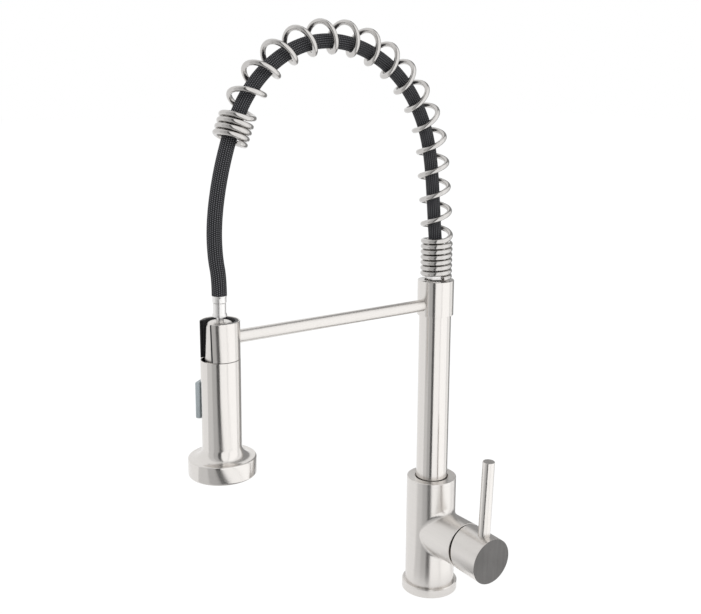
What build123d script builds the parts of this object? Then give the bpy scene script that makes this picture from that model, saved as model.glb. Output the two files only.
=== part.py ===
from build123d import *
import os
from math import atan2, cos, degrees, hypot, pi, radians, sin, sqrt, tan

# Kitchen faucet with a spring neck and a pull-down spray head, in millimetres.
# The column's axis is Z, the deck's top is z = 0, the arm points to -Y and the handle to +X.

# Clearances
running = 0.08          # radial play of a piece that turns or slides in another
seated = 0.05           # radial play of a piece that stays put in another
face_gap = 0.1          # gap between faces that slide on each other
free_gap = 0.4          # gap between pieces that pass each other
pocket_gap = 0.3        # gap round a piece in its pocket or slot
groove_gap = 0.2        # gap beside a piece in its groove
pressed = 0.02          # radial play of a pressed pin or a brazed rod

# Base and valve body
flange_radius = 26.0
flange_height = 8.0
flange_bevel = 0.9
gasket_inner = 19.2
gasket_outer = 23.8
gasket_height = 1.5
body_radius = 23.0
body_top = 111.3
body_bevel = 0.5
housing_height = 60.4   # axis of the side housing, the cartridge and the handle
housing_radius = 21.0
housing_end = 50.0
housing_fillet = 5.0

# Shank and clamp under the deck
shank_radius = 16.45
shank_bore = 13.5
shank_length = 48.0     # below the deck's top
shank_grip = 12.0       # length that is screwed into the body
deck_thickness = 30.0
washer_radius = 30.0
washer_thickness = 3.0
clamp_thickness = 2.3
nut_thickness = 10.0
nut_gap = 0.6           # nut below the clamp plate, which the screws push up
nut_across_flats = 46.0
clamp_screw_radius = 1.95
clamp_screw_length = 19.0

# Water ways in the body
inlet_radius = 4.5
inlet_offset = 7.0
inlet_length = 14.0
inlet_way = 3.0
outlet_way = 4.0
inlet_drop = 6.3        # inlets below the cartridge's axis
outlet_rise = 6.7       # outlet above the cartridge's axis

# Cartridge and bonnet nut, placed along +X from the column's axis
cavity_floor = 12.0
cartridge_radius = 17.5
cartridge_shoulder = 38.0
cartridge_neck = 12.5
cartridge_top = 48.0
cartridge_base = 10.5
cartridge_wall = 2.3
cartridge_bore = cartridge_radius - cartridge_wall
shoulder_wall = 1.5
fixed_disc_height = 4.0
moving_disc_radius = 11.0
moving_disc_height = 5.9
turret_radius = 9.5
turret_flange = cartridge_bore - 1.2
turret_flange_height = 2.8
seal_height = 1.5
seal_width = 1.7
mixing_pocket_radius = 6.0
mixing_pocket_offset = 2.5
mixing_pocket_depth = 1.6
mouth_radius = 19.0
bonnet_bore = 13.0
bonnet_margin = 0.4     # bonnet nut below the housing's end

# Handle, which tilts about a pin at the pivot
pivot_reach = 45.0
rest_lean = 2.3         # degrees that the closed handle leans outwards
handle_lift = 12.0      # degrees that the handle lifts to open the tap
pin_radius = 1.5
pin_half_length = 8.5
ball_radius = 3.0
ball_arm = 11.0         # pivot to the ball that drives the moving disc
blade_half = 3.0
stem_half = 4.0
stem_start = 49.5
dome_radius = 18.2
dome_wall = 1.3
dome_opening = 11.5
dome_reach = 13.9       # pivot to the dome's outer edge
hub_radius = 21.0
hub_skirt_wall = 2.2
hub_floor = 64.5
hub_face = 83.6
hub_rear_top = 50.4
hub_rear_bottom = 56.0
stem_socket = 10.0
lever_radius = 5.4
lever_reach = 72.5
lever_top = 90.9        # above the hub's axis
lever_socket_floor = 12.0
hub_screw_radius = 2.5
hub_screw_reach = 69.5

# Column
column_radius = 14.5
column_wall = 1.2
recess_width = 1.2
recess_radius = column_radius + recess_width
recess_depth = 4.3
bore_floor = 80.0
slip_washer_height = 1.6
slip_washer_bore = 9.5
foot_length = 14.3
spigot_length = 12.0
foot_bore = 9.0
foot_ring_depth = 2.6
foot_ring_height = 2.2
foot_ring_low = 2.9     # lower ring above the foot's bottom
foot_ring_high = 2.8    # upper ring below the foot's top
retainer_height = 89.25
retainer_depth = 2.0
retainer_groove = column_radius - retainer_depth
retainer_radius = 2.5
dog_radius = 1.6

# Collar, arm and dock
collar_wall = 1.95
collar_radius = column_radius + collar_wall
collar_top = 299.0
collar_length = 32.0
collar_lip = 3.0
collar_lip_bore = 10.4
grub_radius = 1.5
grub_height = 283.0
arm_height = 277.0
arm_radius = 5.35
arm_spigot_radius = 3.0
reach = 218.9           # column's axis to the dock's axis
dock_radius = 15.7
dock_wall = 1.3
dock_bottom = 254.7
dock_top = 292.1
slot_half_top = 6.3
slot_half_bottom = 7.8
liner_lip = 1.0
liner_rise = 3.3        # liner's foot above the dock's bottom

# Hose adapter in the column's head
plug_length = 13.0
plug_ring_width = 1.6
nipple_radius = 5.5
nipple_bore = 3.0
adapter_nut_flats = 14.9
adapter_nut_foot = 300.0
hose_start = 308.0

# Spring and hose
wire_diameter = 4.4
spring_diameter = 28.7
closed_pitch = 4.9
closed_turns_foot = 7
open_turns = 16
closed_turns_end = 4
spring_phase = -9.0     # degrees from +X to the wire's start
wire_sides = 6          # sides of the wire's section
section_turn = 10.0     # degrees that the wire's section is turned
hose_radius = 5.9

# Spring's line between its straight, close-wound ends: arcs of radius and degrees turned towards -Y
spring_arcs = [(77.0, 4.4), (1620.0, 2.5), (98.0, 16.1), (120.5, 44.3), (91.0, 80.0), (117.0, 11.0)]

# Hose's route as (y, z) points, from the column's head over the arch to its ferrule
hose_route = [(0.0, 308.0), (0.0, 321.0), (-2.8, 345.0), (-5.0, 371.0), (-7.6, 398.0), (-12.2, 424.0),
              (-21.5, 448.0), (-37.3, 471.2), (-58.5, 489.5), (-84.5, 502.0), (-113.0, 507.4),
              (-142.4, 503.5), (-168.9, 489.7), (-190.4, 468.5), (-205.0, 441.5), (-214.2, 413.0),
              (-220.0, 386.0), (-222.5, 362.0), (-221.7, 341.0), (-218.9, 326.0), (-218.9, 312.0)]

# Hose end
ferrule_top = 312.0
ferrule_bottom = 306.6
ferrule_radius = 5.4
end_nut_top = 306.0
end_nut_bottom = 295.5
end_nut_radius = 5.0
end_nut_rim = 5.75
tail_radius = 3.0
tail_bore = 1.8
tail_flange_radius = 7.4
tail_flange_height = 4.0
head_ring_height = 2.4
tail_nipple_radius = 5.0
tail_bottom = 270.0
check_valve_bore = 2.2
check_valve_seat = 5.0

# Spray head
head_radius = 15.7
head_wall = 1.5
cone_top_radius = 10.9
cone_foot_radius = 12.35
cone_top = 291.5
cone_roof = 3.0
cone_shoulder = 4.5
cone_cavity_radius = 8.0
cone_cavity_floor = 262.0
cone_spigot_depth = 7.3
seat_ring_height = 3.2
disc_radius = 27.1
disc_top = 180.0
disc_bottom = 165.5
disc_roof = 1.7
disc_opening = 24.5
flare_radius = 9.0
face_recess = 1.5
face_thickness = 6.0
nozzle_count = 12
nozzle_circle = 16.0
nozzle_radius = 1.1
nozzle_stand_out = 0.6
mat_thickness = 1.7
mat_inner = 9.2
mat_outer = 22.2
aerator_radius = 8.0
aerator_wall = 1.2
grid_pitch = 3.4
grid_bar = 1.0
grid_height = 1.5
aerator_rise = 1.8
waterway_radius = 12.0
waterway_bore = 5.0
bell_radius = 23.6
bell_inner = 22.6
bell_roof = 2.0
bell_depth = 2.6
nipple_rise = 9.0
head_nipple_radius = 4.4

# Rocker button on the spray head and the spool that it pushes
button_direction = 217.8   # degrees from +X, about the head's axis
button_bottom = 215.0
button_top = 246.0
button_width = 12.0
button_out_top = 19.7
button_out_bottom = 19.0
button_back = 15.4
button_round = 1.2
window_gap = 0.6
rocker_pin_reach = 12.8
rocker_pin_radius = 1.0
rocker_web_half = 3.5
rocker_web_rise = 4.0
lug_width = 1.8
lug_reach = 14.2
lug_rise = 2.6
lug_back = 2.4
spool_radius = 2.0
spool_neck = 1.2
spool_rise = 9.0        # spool above the rocker's pin
spool_inner_end = -8.0

# Places worked out from the sizes above
head_top = dock_bottom - free_gap
foot_bottom = bore_floor + slip_washer_height + face_gap
foot_top = foot_bottom + foot_length
tube_top = collar_top - collar_lip
tube_bore = column_radius - column_wall
dock_bore = dock_radius - dock_wall
cartridge_floor = cavity_floor + free_gap
disc_floor = cartridge_floor + cartridge_base
moving_disc_floor = disc_floor + fixed_disc_height + face_gap
moving_disc_top = moving_disc_floor + moving_disc_height
turret_floor = moving_disc_top + free_gap
ball_reach = pivot_reach - ball_arm
pin_height = (button_bottom + button_top) / 2
washer_top = -deck_thickness
clamp_top = washer_top - washer_thickness
clamp_bottom = clamp_top - clamp_thickness
nut_top = clamp_bottom - nut_gap
face_bottom = disc_bottom + face_recess
face_top = face_bottom + face_thickness
waterway_top = head_top - cone_spigot_depth - face_gap
spring_radius = (spring_diameter - wire_diameter) / 2
wire_slope = closed_pitch / (2 * pi * spring_radius)
spring_foot = collar_top + wire_diameter * (0.55 + wire_slope) + face_gap


# Shapes that are used again and again

def disc(radius, bottom, top):
    """Cylinder about Z between two heights."""
    return Pos(0, 0, bottom) * Cylinder(radius, top - bottom, align=(Align.CENTER, Align.CENTER, Align.MIN))


def ring(inner, outer, bottom, top):
    """Flat ring about Z between two heights."""
    return disc(outer, bottom, top) - disc(inner, bottom - 1, top + 1)


def turned(outline, rounds=()):
    """Solid turned about Z from (radius, height) corners; rounds holds (corner, fillet radius)."""
    face = make_face(Polyline(*outline, close=True))
    for corner, radius in rounds:
        nearest = face.vertices().sort_by_distance(Vector(*outline[corner]))[0]
        face = fillet(nearest, radius)
    return revolve(Plane.XZ * face, Axis.Z)


def seal_ring(inner, outer, middle, height):
    """Rubber ring about Z with its corners cut, so that its section is an octagon."""
    cut = min(outer - inner, height) * 0.29
    low = middle - height / 2
    high = middle + height / 2
    outline = [(inner + cut, low), (outer - cut, low), (outer, low + cut), (outer, high - cut),
               (outer - cut, high), (inner + cut, high), (inner, high - cut), (inner, low + cut)]
    return turned(outline)


def together(shapes):
    """Several separate solids as one node."""
    return Compound(children=[Solid(shape.solid().wrapped) for shape in shapes])


def block(x0, x1, y0, y1, z0, z1):
    """Box between two corners."""
    return Pos((x0 + x1) / 2, (y0 + y1) / 2, (z0 + z1) / 2) * Box(x1 - x0, y1 - y0, z1 - z0)


def side(shape):
    """Lays a shape made about Z along +X, at the height of the side housing."""
    return Pos(0, 0, housing_height) * Rot(0, 90, 0) * shape


def handled(shape):
    """Leans a piece of the handle about the pivot, as it stands when the tap is closed."""
    pivot = Pos(pivot_reach, 0, housing_height)
    return pivot * Rot(0, rest_lean, 0) * pivot.inverse() * shape


def towards_arm(shape):
    """Lays a shape made about Z along -Y, at the height of the arm."""
    return Pos(0, 0, arm_height) * Rot(90, 0, 0) * shape


def at_dock(shape):
    """Moves a shape made about Z to the axis of the dock and spray head."""
    return Pos(0, -reach, 0) * shape


def at_button(shape):
    """Turns a shape made with its outer side to +X to the side of the head where the button is."""
    return at_dock(Rot(0, 0, button_direction) * shape)


def slot_prism(half_top, half_bottom, depth):
    """Tapered prism along -Y from the dock's axis, for the slot in the dock's side."""
    low = dock_bottom - 1
    high = dock_top + 1
    outline = Polyline((-half_bottom, low), (half_bottom, low), (half_top, high), (-half_top, high),
                       close=True)
    plane = Plane(origin=(0, -reach, 0), x_dir=(1, 0, 0), z_dir=(0, -1, 0))
    return extrude(plane * make_face(outline), depth)


# Base, shank and clamp

def make_base_flange():
    outline = [(shank_radius + free_gap, 0), (flange_radius, 0), (flange_radius, flange_height),
               (shank_radius + free_gap, flange_height)]
    flange = turned(outline)
    top_rim = flange.edges().filter_by(GeomType.CIRCLE).sort_by(SortBy.RADIUS)[-2:].sort_by(Axis.Z)[-1]
    flange = chamfer(top_rim, flange_bevel)
    return flange - ring(gasket_inner - groove_gap, gasket_outer + groove_gap, -1, gasket_height + face_gap)


def make_base_gasket():
    return ring(gasket_inner, gasket_outer, 0, gasket_height)


def make_mounting_shank():
    return ring(shank_bore, shank_radius, -shank_length, flange_height + shank_grip - face_gap)


def make_rubber_washer():
    return ring(shank_radius + free_gap, washer_radius, clamp_top, washer_top)


def make_clamp_plate():
    return ring(shank_radius + free_gap, washer_radius, clamp_bottom, clamp_top)


def screw_places():
    """The two clamp screws, in the middle of the nut's wall."""
    circle = (shank_radius + nut_across_flats / 2) / 2
    return [(circle, 0), (-circle, 0)]


def make_mounting_nut():
    corner_radius = nut_across_flats / 2 / cos(pi / 6)
    hexagon = RegularPolygon(corner_radius, 6, rotation=30)
    nut = Pos(0, 0, nut_top - nut_thickness) * extrude(hexagon, nut_thickness)
    nut -= disc(shank_radius + seated, nut_top - nut_thickness - 1, nut_top + 1)
    for x, y in screw_places():
        nut -= Pos(x, y, 0) * disc(clamp_screw_radius + seated, nut_top - nut_thickness - 1, nut_top + 1)
    return nut


def make_clamp_screws():
    screws = [Pos(x, y, 0) * disc(clamp_screw_radius, clamp_bottom - clamp_screw_length, clamp_bottom)
              for x, y in screw_places()]
    return together(screws)


# Valve body with its side housing

def port_places():
    """Centres and radii of the three ways between body and cartridge, as (y, z, radius)."""
    low = housing_height - inlet_drop
    high = housing_height + outlet_rise
    return [(-inlet_offset, low, inlet_way), (inlet_offset, low, inlet_way), (0, high, outlet_way)]


def ports(start, end, extra=0.0):
    """The three ways as rods along +X."""
    rods = [Pos(0, y, z) * Rot(0, 90, 0) * disc(radius + extra, start, end) for y, z, radius in port_places()]
    return rods[0] + rods[1] + rods[2]


def make_valve_body():
    post = turned([(0, flange_height), (body_radius, flange_height), (body_radius, body_top), (0, body_top)],
                  [(2, body_bevel)])
    arm = side(turned([(0, 0), (housing_radius, 0), (housing_radius, housing_end), (0, housing_end)],
                      [(2, body_bevel)]))
    body = post + arm
    seam = new_edges(post, arm, combined=body)
    body = fillet(seam, housing_fillet)
    body -= disc(column_radius + face_gap, bore_floor, body_top)
    body -= disc(recess_radius, body_top - recess_depth, body_top + 1)
    body -= disc(shank_radius + seated, flange_height - 1, flange_height + shank_grip)
    body -= side(disc(cartridge_radius + 2 * face_gap, cavity_floor, cartridge_shoulder))
    body -= side(disc(mouth_radius, cartridge_shoulder, housing_end + 1))
    body -= ports(0, cavity_floor + 1)
    inlet_top = flange_height + shank_grip + inlet_length
    for y in (-inlet_offset, inlet_offset):
        body -= Pos(0, y, 0) * disc(inlet_radius, flange_height + shank_grip - 1, inlet_top)
        body -= Pos(0, y, 0) * disc(inlet_way, inlet_top - 1, housing_height - inlet_drop)
    body -= disc(outlet_way, housing_height + outlet_rise, bore_floor + 1)
    screw_way = Pos(0, 0, retainer_height) * Rot(0, -90, 0)
    body -= screw_way * disc(retainer_radius + seated, column_radius - 1, body_radius + 1)
    return body


# Cartridge

def make_cartridge_body():
    inside = cartridge_shoulder - shoulder_wall
    neck_bore = turret_radius + running
    outline = [(0, cartridge_floor), (cartridge_radius, cartridge_floor),
               (cartridge_radius, cartridge_shoulder), (cartridge_neck, cartridge_shoulder),
               (cartridge_neck, cartridge_top), (neck_bore, cartridge_top), (neck_bore, inside),
               (cartridge_bore, inside), (cartridge_bore, disc_floor), (0, disc_floor)]
    case = side(turned(outline))
    case -= ports(cartridge_floor - 1, disc_floor + 1)
    case -= ports(cartridge_floor - 1, cavity_floor + seated + seal_height, seal_width + seated)
    return case


def make_cartridge_seals():
    rings = []
    for y, z, radius in port_places():
        seal = ring(radius, radius + seal_width, cavity_floor + seated, cavity_floor + seated + seal_height)
        rings.append(Pos(0, y, z) * Rot(0, 90, 0) * seal)
    return together(rings)


def make_fixed_disc():
    plate = side(disc(cartridge_bore - face_gap, disc_floor, disc_floor + fixed_disc_height))
    return plate - ports(disc_floor - 1, disc_floor + fixed_disc_height + 1)


def disc_rise():
    """How far the ball, and the disc that it drives, stand above the axis when the tap is closed."""
    return ball_arm * sin(radians(rest_lean))


def make_moving_disc():
    pocket_floor = ball_reach - ball_radius - free_gap
    plate = disc(moving_disc_radius, moving_disc_floor, moving_disc_top)
    plate -= disc(ball_radius + pocket_gap, pocket_floor, moving_disc_top + 1)
    pocket = disc(mixing_pocket_radius, moving_disc_floor - 1, moving_disc_floor + mixing_pocket_depth)
    plate -= Pos(-mixing_pocket_offset, 0, 0) * pocket
    return Pos(0, 0, disc_rise()) * side(plate)


def make_cartridge_turret():
    flange_top = turret_floor + turret_flange_height
    turret = side(disc(turret_flange, turret_floor, flange_top))
    turret += side(disc(turret_radius, flange_top - 0.5, cartridge_top))
    half = blade_half + pocket_gap
    swing = sin(radians(rest_lean + handle_lift))
    swing_up = ball_radius + ball_arm * swing + free_gap
    swing_down = blade_half + (cartridge_top - pivot_reach) * swing + free_gap
    turret -= block(turret_floor - 1, cartridge_top + 1, -half, half,
                    housing_height - swing_down, housing_height + swing_up)
    turret -= Pos(pivot_reach, 0, housing_height) * Rot(90, 0, 0) * disc(pin_radius + pressed, -20, 20)
    return turret


def make_turret_pin():
    pin = disc(pin_radius, -pin_half_length, pin_half_length)
    return Pos(pivot_reach, 0, housing_height) * Rot(90, 0, 0) * pin


def make_cartridge_stem():
    blade = block(ball_reach + 1, stem_start + 0.5, -blade_half, blade_half,
                  housing_height - blade_half, housing_height + blade_half)
    square = block(stem_start, hub_floor + stem_socket - free_gap, -stem_half, stem_half,
                   housing_height - stem_half, housing_height + stem_half)
    ball = Pos(ball_reach, 0, housing_height) * Sphere(ball_radius)
    stem = blade + square + ball
    stem -= Pos(pivot_reach, 0, housing_height) * Rot(90, 0, 0) * disc(pin_radius + running, -10, 10)
    return handled(stem)


def make_bonnet_nut():
    top = housing_end - bonnet_margin
    return side(ring(bonnet_bore, mouth_radius - seated, cartridge_shoulder, top))


def make_dome_cap():
    foot = housing_end - bonnet_margin
    foot_radius = sqrt(dome_radius ** 2 - (housing_end - pivot_reach) ** 2)
    shell = Sphere(dome_radius) - Sphere(dome_radius - dome_wall)
    band = disc(dome_radius + 1, housing_end - pivot_reach, dome_reach)
    cap = Pos(0, 0, pivot_reach) * (shell & band)
    cap += ring(foot_radius - dome_wall, foot_radius, foot, housing_end)
    cap -= disc(dome_opening, foot, pivot_reach + dome_radius)
    return side(cap)


# Handle

def make_handle_hub():
    inner = hub_radius - hub_skirt_wall
    outline = [(inner, hub_rear_top - 1), (hub_radius, hub_rear_top - 1), (hub_radius, hub_face),
               (0, hub_face), (0, hub_floor), (inner, hub_floor)]
    hub = side(turned(outline, [(2, 0.5)]))
    slope = degrees(atan2(hub_rear_bottom - hub_rear_top, 2 * hub_radius))
    middle = (hub_rear_top + hub_rear_bottom) / 2
    cutter = Pos(middle, 0, housing_height) * Rot(0, -slope, 0) * block(-30, 0, -40, 40, -40, 40)
    hub -= cutter
    half = stem_half + seated
    hub -= block(hub_floor - 1, hub_floor + stem_socket, -half, half,
                 housing_height - half, housing_height + half)
    lever_hole = disc(lever_radius + seated, lever_socket_floor, hub_radius + 1)
    hub -= Pos(lever_reach, 0, housing_height) * lever_hole
    screw_hole = disc(hub_screw_radius + seated, -hub_radius - 1, -stem_half)
    hub -= Pos(hub_screw_reach, 0, housing_height) * screw_hole
    return handled(hub)


def make_lever_rod():
    rod = turned([(0, lever_socket_floor), (lever_radius, lever_socket_floor), (lever_radius, lever_top),
                  (0, lever_top)], [(2, 0.5)])
    return handled(Pos(lever_reach, 0, housing_height) * rod)


def make_hub_set_screw():
    screw = disc(hub_screw_radius, -hub_radius + 1.5, -stem_half - seated)
    return handled(Pos(hub_screw_reach, 0, housing_height) * screw)


# Column

def make_slip_washer():
    return ring(slip_washer_bore, column_radius - groove_gap, bore_floor, bore_floor + slip_washer_height)


def foot_ring_heights():
    """Middles of the two rubber rings round the column's foot, either side of the retaining groove."""
    return [foot_bottom + foot_ring_low, foot_top - foot_ring_high]


def make_column_foot():
    top = foot_top + spigot_length
    outline = [(foot_bore, foot_bottom), (column_radius, foot_bottom), (column_radius, foot_top),
               (tube_bore - seated, foot_top), (tube_bore - seated, top), (foot_bore, top)]
    foot = turned(outline)
    inner = column_radius - foot_ring_depth
    for middle in foot_ring_heights():
        half = foot_ring_height / 2 + seated
        foot -= ring(inner, column_radius + 1, middle - half, middle + half)
    half = dog_radius + pocket_gap
    foot -= ring(retainer_groove, column_radius + 1, retainer_height - half, retainer_height + half)
    return foot


def make_column_orings():
    inner = column_radius - foot_ring_depth + seated
    outer = column_radius + seated
    rings = [seal_ring(inner, outer, middle, foot_ring_height) for middle in foot_ring_heights()]
    return together(rings)


def make_column_screw():
    screw = disc(retainer_radius, column_radius + 0.5, body_radius - 1)
    screw += disc(dog_radius, retainer_groove + pocket_gap, column_radius + 1)
    return Pos(0, 0, retainer_height) * Rot(0, -90, 0) * screw


def make_column_tube():
    return ring(tube_bore, column_radius, foot_top, tube_top)


# Collar, arm and dock

def make_collar():
    bore = column_radius + seated
    bottom = collar_top - collar_length
    outline = [(bore, bottom), (collar_radius, bottom), (collar_radius, collar_top),
               (collar_lip_bore, collar_top), (collar_lip_bore, tube_top), (bore, tube_top)]
    collar = turned(outline, [(1, 0.4), (2, 0.6)])
    collar -= towards_arm(disc(arm_spigot_radius + seated, column_radius - 1, collar_radius + 1))
    collar -= Pos(0, 0, grub_height) * Rot(-90, 0, 0) * disc(grub_radius + seated, column_radius - 1, 20)
    return collar


def make_collar_grub_screw():
    screw = disc(grub_radius, column_radius + seated, collar_radius - groove_gap)
    return Pos(0, 0, grub_height) * Rot(-90, 0, 0) * screw


def make_arm_rod():
    rod = towards_arm(disc(arm_radius, 0, reach))
    rod -= disc(collar_radius + pressed, arm_height - 20, arm_height + 20)
    rod -= at_dock(disc(dock_radius + pressed, arm_height - 20, arm_height + 20))
    rod += towards_arm(disc(arm_spigot_radius, column_radius + 2 * seated, collar_radius + 3))
    rod += towards_arm(disc(arm_spigot_radius, reach - dock_radius - 3, reach - dock_bore - seated))
    return rod


def make_dock_shell():
    shell = at_dock(ring(dock_bore, dock_radius, dock_bottom, dock_top))
    shell -= slot_prism(slot_half_top, slot_half_bottom, 30)
    shell -= towards_arm(disc(arm_spigot_radius + seated, reach - dock_radius - 1, reach - dock_bore + 1))
    return shell


def cone_radius_at(height):
    """Outer radius of the docking cone at a height."""
    share = (height - head_top) / (cone_top - head_top)
    return cone_foot_radius + share * (cone_top_radius - cone_foot_radius)


def make_dock_liner():
    low = dock_bottom + liner_rise
    high = dock_top - groove_gap
    outer = dock_bore - seated
    low_bore = cone_radius_at(low) + free_gap
    high_bore = cone_radius_at(high) + free_gap
    sleeve = at_dock(turned([(low_bore, low), (outer, low), (outer, high), (high_bore, high)]))
    lips = at_dock(ring(outer - liner_lip, dock_radius, low, high))
    lips &= slot_prism(slot_half_top - seated, slot_half_bottom - seated, 30)
    liner = sleeve + lips
    return liner - slot_prism(slot_half_top - liner_lip, slot_half_bottom - liner_lip, 30)


# Hose adapter in the column's head

def make_hose_adapter():
    plug_bottom = tube_top - plug_length
    plug_radius = tube_bore - seated
    outline = [(nipple_bore, plug_bottom), (plug_radius, plug_bottom), (plug_radius, tube_top),
               (nipple_radius, tube_top), (nipple_radius, hose_start), (nipple_bore, hose_start)]
    plug = turned(outline)
    middle = tube_top - plug_length / 2
    half = plug_ring_width / 2 + seated
    return plug - ring(plug_radius - plug_ring_width, plug_radius + 1, middle - half, middle + half)


def make_adapter_oring():
    inner = tube_bore - plug_ring_width
    return seal_ring(inner, tube_bore, tube_top - plug_length / 2, plug_ring_width)


def make_union_nut():
    hexagon = RegularPolygon(adapter_nut_flats / 2 / cos(pi / 6), 6)
    nut = Pos(0, 0, adapter_nut_foot) * extrude(hexagon, hose_start - adapter_nut_foot)
    return nut - disc(nipple_radius + seated, adapter_nut_foot - 1, hose_start + 1)


# Spring

def spring_line(distance):
    """Point (y, z) and lean in radians of the spring's line at a distance above its foot."""
    straight = closed_turns_foot * closed_pitch
    if distance <= straight:
        return 0.0, spring_foot + distance, 0.0
    left = distance - straight
    y = 0.0
    z = spring_foot + straight
    lean = 0.0
    for radius, turn in spring_arcs:
        angle = min(left / radius, radians(turn))
        y += radius * (cos(lean + angle) - cos(lean))
        z += radius * (sin(lean + angle) - sin(lean))
        lean += angle
        left -= radius * angle
    return y - left * sin(lean), z + left * cos(lean), lean


def spring_length():
    arcs = sum(radius * radians(turn) for radius, turn in spring_arcs)
    return (closed_turns_foot + closed_turns_end) * closed_pitch + arcs


def distance_at(turn):
    """Distance along the spring's line after a number of turns: close, then open, then close."""
    foot = closed_turns_foot * closed_pitch
    end = closed_turns_end * closed_pitch
    open_pitch = (spring_length() - foot - end) / open_turns
    if turn <= closed_turns_foot:
        return turn * closed_pitch
    if turn <= closed_turns_foot + open_turns:
        return foot + (turn - closed_turns_foot) * open_pitch
    return spring_length() - (closed_turns_foot + open_turns + closed_turns_end - turn) * closed_pitch


def wire_point(turn):
    """Centre of the wire after a number of turns."""
    y, z, lean = spring_line(distance_at(turn))
    angle = radians(spring_phase + 360 * turn)
    out = spring_radius * sin(angle)
    return Vector(spring_radius * cos(angle), y + out * cos(lean), z + out * sin(lean))


def wire_direction(turn):
    step = 0.002
    return (wire_point(turn + step) - wire_point(turn - step)).normalized()


def biarc(start, start_way, end, end_way):
    """Two tangent arcs from one point and direction to another."""
    chord = end - start
    both = start_way + end_way
    spread = 2 * (1 - start_way.dot(end_way))
    reach_along = chord.dot(both)
    length = (sqrt(reach_along ** 2 + spread * chord.dot(chord)) - reach_along) / spread
    joint = (start + end + (start_way - end_way) * length) / 2
    first = Edge.make_tangent_arc(start, start_way, joint)
    second = Edge.make_tangent_arc(joint, first.tangent_at(1), end)
    return [first, second]


def make_spring():
    turns = closed_turns_foot + open_turns + closed_turns_end
    marks = [i / 4 for i in range(4 * turns + 1)]
    stations = [(wire_point(turn), wire_direction(turn)) for turn in marks]
    start, start_way = stations[0]
    end, end_way = stations[-1]
    edges = [Edge.make_line(start - start_way * wire_diameter, start)]
    for (point, way), (next_point, next_way) in zip(stations, stations[1:]):
        edges += biarc(point, way, next_point, next_way)
    edges.append(Edge.make_line(end, end + end_way * wire_diameter))
    path = Wire(edges)
    share_of_circle = wire_sides / 2 * sin(2 * pi / wire_sides) / pi
    corner_radius = wire_diameter / 2 / sqrt(share_of_circle)
    outline = RegularPolygon(corner_radius, wire_sides, rotation=section_turn)
    section = Plane(origin=start - start_way * wire_diameter, z_dir=start_way) * outline
    return sweep(section, path=path, clean=False)


def print_spring_gap():
    """Least gap between the wire's turns, measured on points along it."""
    turns = closed_turns_foot + open_turns + closed_turns_end
    per_turn = 48
    points = [wire_point(i / per_turn) for i in range(turns * per_turn + 1)]
    least = min((points[i] - points[j]).length
                for i in range(0, len(points), 2)
                for j in range(i + per_turn // 2, min(i + 3 * per_turn // 2, len(points))))
    print("spring: least gap between turns", round(least - wire_diameter, 2))


# Hose

def hose_radii():
    """Radius at each corner of the route: 0.45 of the shorter run over the tangent of half the turn."""
    radii = []
    for before, here, after in zip(hose_route, hose_route[1:], hose_route[2:]):
        first = (here[0] - before[0], here[1] - before[1])
        second = (after[0] - here[0], after[1] - here[1])
        cross = first[0] * second[1] - first[1] * second[0]
        along = first[0] * second[0] + first[1] * second[1]
        turn = abs(atan2(cross, along))
        radii.append(0.45 * min(hypot(*first), hypot(*second)) / tan(turn / 2))
    return radii


def make_spray_hose():
    radii = hose_radii()
    print("hose: corner radii", [round(radius) for radius in radii])
    corners = [(0, y, z) for y, z in hose_route]
    path = FilletPolyline(*corners, radius=radii)
    section = Plane(origin=corners[0], z_dir=(0, 0, 1)) * Circle(hose_radius)
    hose = sweep(section, path=path, clean=False)
    print("hose: length", round(path.length, 1), "volume ratio",
          round(hose.volume / (pi * hose_radius ** 2 * path.length), 4))
    return hose


# Hose end

def make_hose_ferrule():
    bore = tail_radius + seated
    outline = [(bore, ferrule_bottom), (ferrule_radius, ferrule_bottom), (ferrule_radius, ferrule_top - 2),
               (hose_radius, ferrule_top), (bore, ferrule_top)]
    return at_dock(turned(outline))


def make_hose_nut():
    bore = tail_radius + seated
    outline = [(bore, end_nut_bottom), (end_nut_rim, end_nut_bottom), (end_nut_rim, end_nut_bottom + 1.4),
               (end_nut_radius, end_nut_bottom + 2.8), (end_nut_radius, end_nut_top), (bore, end_nut_top)]
    return at_dock(turned(outline))


def make_hose_tail():
    flange_top = cone_top - cone_roof - pocket_gap
    flange_bottom = flange_top - tail_flange_height
    outline = [(tail_bore, tail_bottom), (tail_nipple_radius, tail_bottom),
               (tail_nipple_radius, flange_bottom), (tail_flange_radius, flange_bottom),
               (tail_flange_radius, flange_top), (tail_radius, flange_top), (tail_radius, ferrule_top),
               (tail_bore, ferrule_top)]
    return at_dock(turned(outline))


# Spray head

def make_docking_cone():
    cavity_top = cone_top - cone_roof
    low = head_top - cone_spigot_depth
    spigot = head_radius - head_wall - face_gap
    inlet = head_nipple_radius + seated
    hole = tail_radius + running
    outline = [(hole, cone_top), (cone_top_radius, cone_top), (cone_foot_radius, head_top),
               (spigot, head_top), (spigot, low), (inlet, low), (inlet, cone_cavity_floor),
               (cone_cavity_radius, cone_cavity_floor), (cone_cavity_radius, cavity_top), (hole, cavity_top)]
    return at_dock(turned(outline, [(1, cone_shoulder)]))


def make_seat_ring():
    outer = dock_bore - free_gap
    return at_dock(ring(cone_foot_radius + seated, outer, head_top, head_top + seat_ring_height))


def make_check_valve():
    outline = [(check_valve_bore, cone_cavity_floor), (cone_cavity_radius - seated, cone_cavity_floor),
               (cone_cavity_radius - seated, tail_bottom - 3), (check_valve_seat, tail_bottom - 1),
               (check_valve_bore, tail_bottom - 1)]
    return at_dock(turned(outline))


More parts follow.
